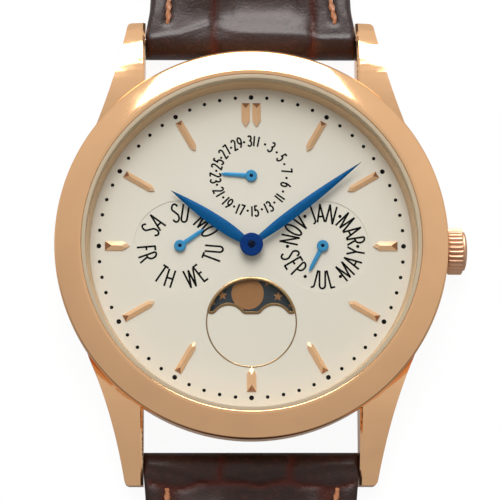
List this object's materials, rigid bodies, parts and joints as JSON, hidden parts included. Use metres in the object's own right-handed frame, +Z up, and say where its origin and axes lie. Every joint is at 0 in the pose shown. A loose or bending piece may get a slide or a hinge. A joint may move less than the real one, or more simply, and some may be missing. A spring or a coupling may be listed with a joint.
{
  "type": "quartz watch",
  "caption": "Round calendar wristwatch with a moon window, small date, day and month dials, wide polished bezel, fluted crown and an open padded strap with a pin buckle.",
  "frame": {"origin": "centre of the case back's outer face", "axes": "+Z up through the dial, +Y to 12 o'clock, +X to the crown"},
  "size_m": [0.0403, 0.2427, 0.009],
  "materials": {
    "rose_gold": "polished rose gold plating",
    "crystal": "clear mineral glass",
    "white_gasket": "white nylon",
    "flange": "satin rose gold",
    "dial": "silvery cream, fine satin",
    "markers": "faceted and polished",
    "window_frame": "polished",
    "white_plastic": "moulded",
    "brass": "fine matte",
    "steel": "brushed",
    "blued_screw": "blued",
    "board": "solder resist",
    "copper": "enamelled wire",
    "black_rubber": "moulded",
    "blue_hand": "deep blue lacquer",
    "light_blue_hand": "light blue lacquer",
    "moon_print": "printed night sky",
    "leather": "glossy embossed grain",
    "lining": "smooth lining"
  },
  "bodies": {
    "case": {"case_middle": "rose_gold", "bezel": "rose_gold", "crystal": "crystal", "crystal_gasket": "white_gasket", "inner_flange": "flange", "dial_plate": "dial", "hour_markers": "markers", "moon_frame": "window_frame", "movement_holder": "white_plastic", "main_plate": "brass", "train_bridge": "brass", "bridge_screws": "blued_screw", "circuit_board": "board", "quartz_resonator": "steel", "coil_core": "steel", "coil_winding": "copper", "stator": "steel", "battery": "steel", "battery_clamp": "steel", "case_back": "steel", "back_gasket": "black_rubber", "crown_tube": "steel", "spring_bar_12": "steel", "spring_bar_6": "steel"},
    "minute_works": {"centre_wheel": "brass", "cannon_pinion": "steel", "minute_hand": "blue_hand"},
    "hour_works": {"hour_wheel": "brass", "hour_hand": "blue_hand"},
    "minute_wheel": {"minute_wheel": "brass"},
    "third_wheel": {"third_wheel": "brass"},
    "intermediate_wheel": {"intermediate_wheel": "brass"},
    "rotor": {"rotor": "steel"},
    "date_works": {"date_wheel": "brass", "date_hand": "light_blue_hand"},
    "day_works": {"day_wheel": "brass", "day_hand": "light_blue_hand"},
    "month_works": {"month_wheel": "brass", "month_hand": "light_blue_hand"},
    "moon_disc": {"moon_disc": "moon_print"},
    "sliding_pinion": {"sliding_pinion": "steel"},
    "crown": {"stem": "steel", "crown": "rose_gold", "crown_gasket": "black_rubber"},
    "bar_pin_12_left": {"bar_pin_12_left": "steel"},
    "bar_pin_12_right": {"bar_pin_12_right": "steel"},
    "bar_pin_6_left": {"bar_pin_6_left": "steel"},
    "bar_pin_6_right": {"bar_pin_6_right": "steel"},
    "strap_12": {"strap_12": "leather", "strap_12_lining": "lining", "fixed_keeper": "leather"},
    "free_keeper": {"free_keeper": "leather"},
    "buckle": {"buckle_frame": "rose_gold", "buckle_bar": "steel"},
    "tongue": {"buckle_tongue": "rose_gold"},
    "strap_6": {"strap_6": "leather", "strap_6_lining": "lining"}
  },
  "joints": [
    {"name": "minute_hand_turn", "type": "hinge", "parent": "case", "child": "minute_works", "pos_m": [0, 0, 0.006], "axis": [0, 0, 1], "continuous": true},
    {"name": "hour_hand_turn", "type": "hinge", "parent": "case", "child": "hour_works", "pos_m": [0, 0, 0.006], "axis": [0, 0, 1], "continuous": true},
    {"name": "minute_wheel_turn", "type": "hinge", "parent": "case", "child": "minute_wheel", "pos_m": [0.0017, 0.0017, 0.004], "axis": [0, 0, 1], "continuous": true},
    {"name": "third_wheel_turn", "type": "hinge", "parent": "case", "child": "third_wheel", "pos_m": [-0.00346, 0.002, 0.003], "axis": [0, 0, 1], "continuous": true},
    {"name": "intermediate_wheel_turn", "type": "hinge", "parent": "case", "child": "intermediate_wheel", "pos_m": [-0.00166, 0.00512, 0.003], "axis": [0, 0, 1], "continuous": true},
    {"name": "rotor_turn", "type": "hinge", "parent": "case", "child": "rotor", "pos_m": [0.00184, 0.00512, 0.003], "axis": [0, 0, 1], "continuous": true},
    {"name": "date_hand_turn", "type": "hinge", "parent": "case", "child": "date_works", "pos_m": [0, 0.00693, 0.005], "axis": [0, 0, 1], "continuous": true},
    {"name": "day_hand_turn", "type": "hinge", "parent": "case", "child": "day_works", "pos_m": [-0.00693, 0, 0.005], "axis": [0, 0, 1], "continuous": true},
    {"name": "month_hand_turn", "type": "hinge", "parent": "case", "child": "month_works", "pos_m": [0.00693, 0, 0.005], "axis": [0, 0, 1], "continuous": true},
    {"name": "moon_disc_turn", "type": "hinge", "parent": "case", "child": "moon_disc", "pos_m": [0, -0.00746, 0.0047], "axis": [0, 0, 1], "continuous": true},
    {"name": "crown_turn", "type": "hinge", "parent": "case", "child": "sliding_pinion", "pos_m": [0.0085, 0, 0.00245], "axis": [1, 0, 0], "continuous": true},
    {"name": "crown_pull", "type": "slide", "parent": "sliding_pinion", "child": "crown", "axis": [1, 0, 0], "range_m": [0, 0.001]},
    {"name": "bar_pin_12_left_push", "type": "slide", "parent": "case", "child": "bar_pin_12_left", "axis": [1, 0, 0], "range_m": [0, 0.0008], "stiffness_N_per_m": 200},
    {"name": "bar_pin_12_right_push", "type": "slide", "parent": "case", "child": "bar_pin_12_right", "axis": [-1, 0, 0], "range_m": [0, 0.0008], "stiffness_N_per_m": 200},
    {"name": "bar_pin_6_left_push", "type": "slide", "parent": "case", "child": "bar_pin_6_left", "axis": [1, 0, 0], "range_m": [0, 0.0008], "stiffness_N_per_m": 200},
    {"name": "bar_pin_6_right_push", "type": "slide", "parent": "case", "child": "bar_pin_6_right", "axis": [-1, 0, 0], "range_m": [0, 0.0008], "stiffness_N_per_m": 200},
    {"name": "strap_12_swing", "type": "hinge", "parent": "case", "child": "strap_12", "pos_m": [0, 0.0213, 0.0019], "axis": [1, 0, 0], "range_deg": [-80, 20]},
    {"name": "strap_6_swing", "type": "hinge", "parent": "case", "child": "strap_6", "pos_m": [0, -0.0213, 0.0019], "axis": [-1, 0, 0], "range_deg": [-80, 20]},
    {"name": "free_keeper_slide", "type": "slide", "parent": "strap_12", "child": "free_keeper", "axis": [0, -1, 0], "range_m": [0, 0.012]},
    {"name": "buckle_swing", "type": "hinge", "parent": "strap_12", "child": "buckle", "pos_m": [0, 0.0963, 0.0021], "axis": [1, 0, 0], "range_deg": [-60, 15]},
    {"name": "tongue_lift", "type": "hinge", "parent": "buckle", "child": "tongue", "pos_m": [0, 0.0963, 0.0021], "axis": [1, 0, 0], "range_deg": [0, 105]}
  ],
  "couplings": [
    {"joint": "hour_hand_turn", "follows": "minute_hand_turn", "ratio": 0.083333},
    {"joint": "minute_wheel_turn", "follows": "minute_hand_turn", "ratio": -0.33333},
    {"joint": "third_wheel_turn", "follows": "minute_hand_turn", "ratio": -3},
    {"joint": "intermediate_wheel_turn", "follows": "minute_hand_turn", "ratio": 15},
    {"joint": "rotor_turn", "follows": "minute_hand_turn", "ratio": -90}
  ]
}
